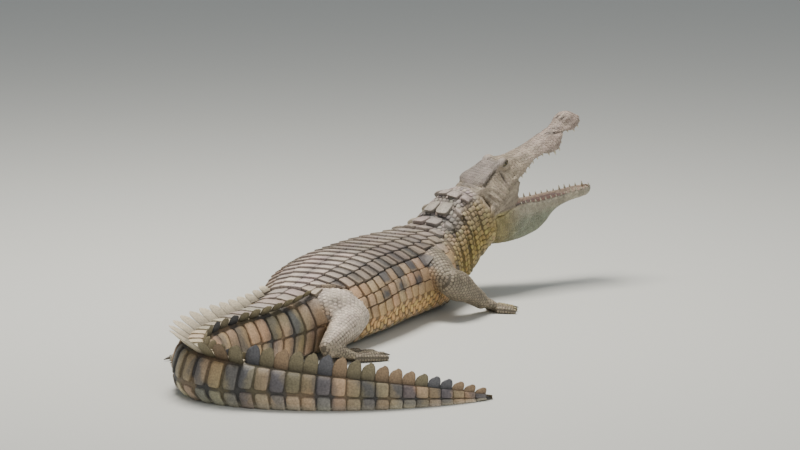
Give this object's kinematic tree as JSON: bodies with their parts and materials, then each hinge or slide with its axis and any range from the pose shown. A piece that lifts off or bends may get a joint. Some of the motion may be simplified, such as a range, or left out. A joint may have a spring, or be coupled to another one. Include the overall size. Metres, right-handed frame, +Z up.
{
  "type": "nile crocodile",
  "caption": "Life-size still crocodile lying on its belly, head raised with jaws open, crested tail curled to its right.",
  "frame": {"origin": "on the floor, below the middle of the whole box", "axes": "+X forward along the trunk, +Y to the animal's left, +Z up"},
  "size_m": [1.9796, 1.0362, 0.4876],
  "materials": {
    "hide": "dry horny scales, tan and grey with dark slate blotches, matte",
    "throat": "paler, finer scaled hide of jaw and throat, matte",
    "tooth": "ivory enamel, darker at the root",
    "claw": "dark horn, slightly polished",
    "eye": "wet glossy eyeball, slit pupil",
    "tongue": "moist pink and ochre mouth lining"
  },
  "bodies": {
    "root": {"arm_left": "hide", "arm_right": "hide", "eye_left": "eye", "eye_right": "eye", "foot_left": "hide", "foot_left_claw_1": "claw", "foot_left_claw_2": "claw", "foot_left_claw_3": "claw", "foot_right": "hide", "foot_right_claw_1": "claw", "foot_right_claw_2": "claw", "foot_right_claw_3": "claw", "forearm_left": "hide", "forearm_right": "hide", "hand_left": "hide", "hand_left_claw_1": "claw", "hand_left_claw_2": "claw", "hand_left_claw_3": "claw", "hand_right": "hide", "hand_right_claw_1": "claw", "hand_right_claw_2": "claw", "hand_right_claw_3": "claw", "head": "hide", "lower_jaw": "throat", "neck": "hide", "shank_left": "hide", "shank_right": "hide", "tail_1": "hide", "tail_2": "hide", "tail_3": "hide", "tail_4": "hide", "tail_5": "hide", "thigh_left": "hide", "thigh_right": "hide", "tongue": "tongue", "trunk": "hide"}
  },
  "joints": []
}
